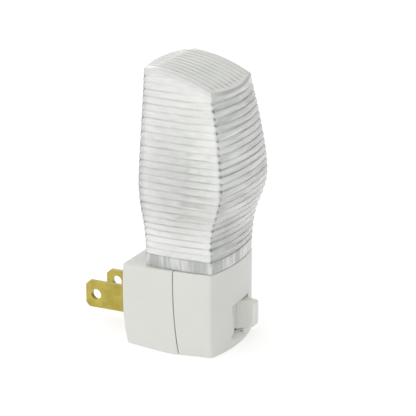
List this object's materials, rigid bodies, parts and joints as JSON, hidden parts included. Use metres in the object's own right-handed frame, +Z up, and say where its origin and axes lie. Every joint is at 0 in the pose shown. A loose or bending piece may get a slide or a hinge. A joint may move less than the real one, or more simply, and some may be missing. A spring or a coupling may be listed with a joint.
{
  "type": "plug-in night light",
  "caption": "Plug-in night light with a bowed two-shell housing, polarised flat blades, a front slide switch and a clear ribbed shade over a small screw-base bulb.",
  "frame": {"origin": "middle of the plug face, on the wall plane, halfway between the two blades", "axes": "+Z up; +Y out of the back, the way the blades point into the wall; the bowed front and the switch face -Y; +X to the narrow line blade and the switch"},
  "size_m": [0.033, 0.0492, 0.0825],
  "materials": {
    "housing_plastic": "moulded off-white, semi-gloss",
    "knob_plastic": "moulded off-white, semi-gloss",
    "inner_plastic": "moulded, matt",
    "blade_brass": "rolled, bright",
    "contact_brass": "rolled, satin",
    "spring_bronze": "rolled, satin",
    "screw_steel": "zinc plated",
    "clear_plastic": "clear styrene, finely ribbed outside, smooth inside",
    "bulb_glass": "clear, smooth",
    "base_nickel": "nickel plated",
    "base_cement": "matt plaster",
    "black_glass": "vitreous, glossy",
    "tungsten": "drawn wire"
  },
  "bodies": {
    "housing": {"rear_housing": "housing_plastic", "front_cover": "housing_plastic", "cover_screw": "screw_steel", "neutral_blade": "blade_brass", "line_blade": "blade_brass", "blade_retainer": "inner_plastic", "neutral_strap": "contact_brass", "line_terminal": "contact_brass", "load_terminal": "contact_brass", "centre_contact": "spring_bronze", "terminal_rivets": "screw_steel", "socket_body": "inner_plastic", "screw_shell": "contact_brass"},
    "switch": {"switch_knob": "knob_plastic", "contact_carrier": "inner_plastic", "moving_contact": "spring_bronze"},
    "shade": {"shade": "clear_plastic"},
    "bulb_thread": {"bulb_tip_contact": "base_nickel"},
    "bulb": {"bulb_glass": "bulb_glass", "bulb_base_shell": "base_nickel", "bulb_base_cement": "base_cement", "bulb_insulator": "black_glass", "bulb_stem": "bulb_glass", "bulb_lead_wires": "base_nickel", "bulb_filament": "tungsten", "filament_support": "tungsten"}
  },
  "joints": [
    {"name": "switch_slide", "type": "slide", "parent": "housing", "child": "switch", "axis": [1, 0, 0], "range_m": [-0.0044, 0]},
    {"name": "shade_lift", "type": "slide", "parent": "housing", "child": "shade", "axis": [0, 0, 1], "range_m": [0, 0.06]},
    {"name": "bulb_rise", "type": "slide", "parent": "housing", "child": "bulb_thread", "axis": [0, 0, 1], "range_m": [0, 0.00571]},
    {"name": "bulb_turn", "type": "hinge", "parent": "bulb_thread", "child": "bulb", "pos_m": [0, -0.0169, 0.0142], "axis": [0, 0, 1], "range_deg": [0, 811]}
  ],
  "couplings": [
    {"joint": "bulb_turn", "follows": "bulb_rise", "rad_per_m": 2473.7}
  ]
}
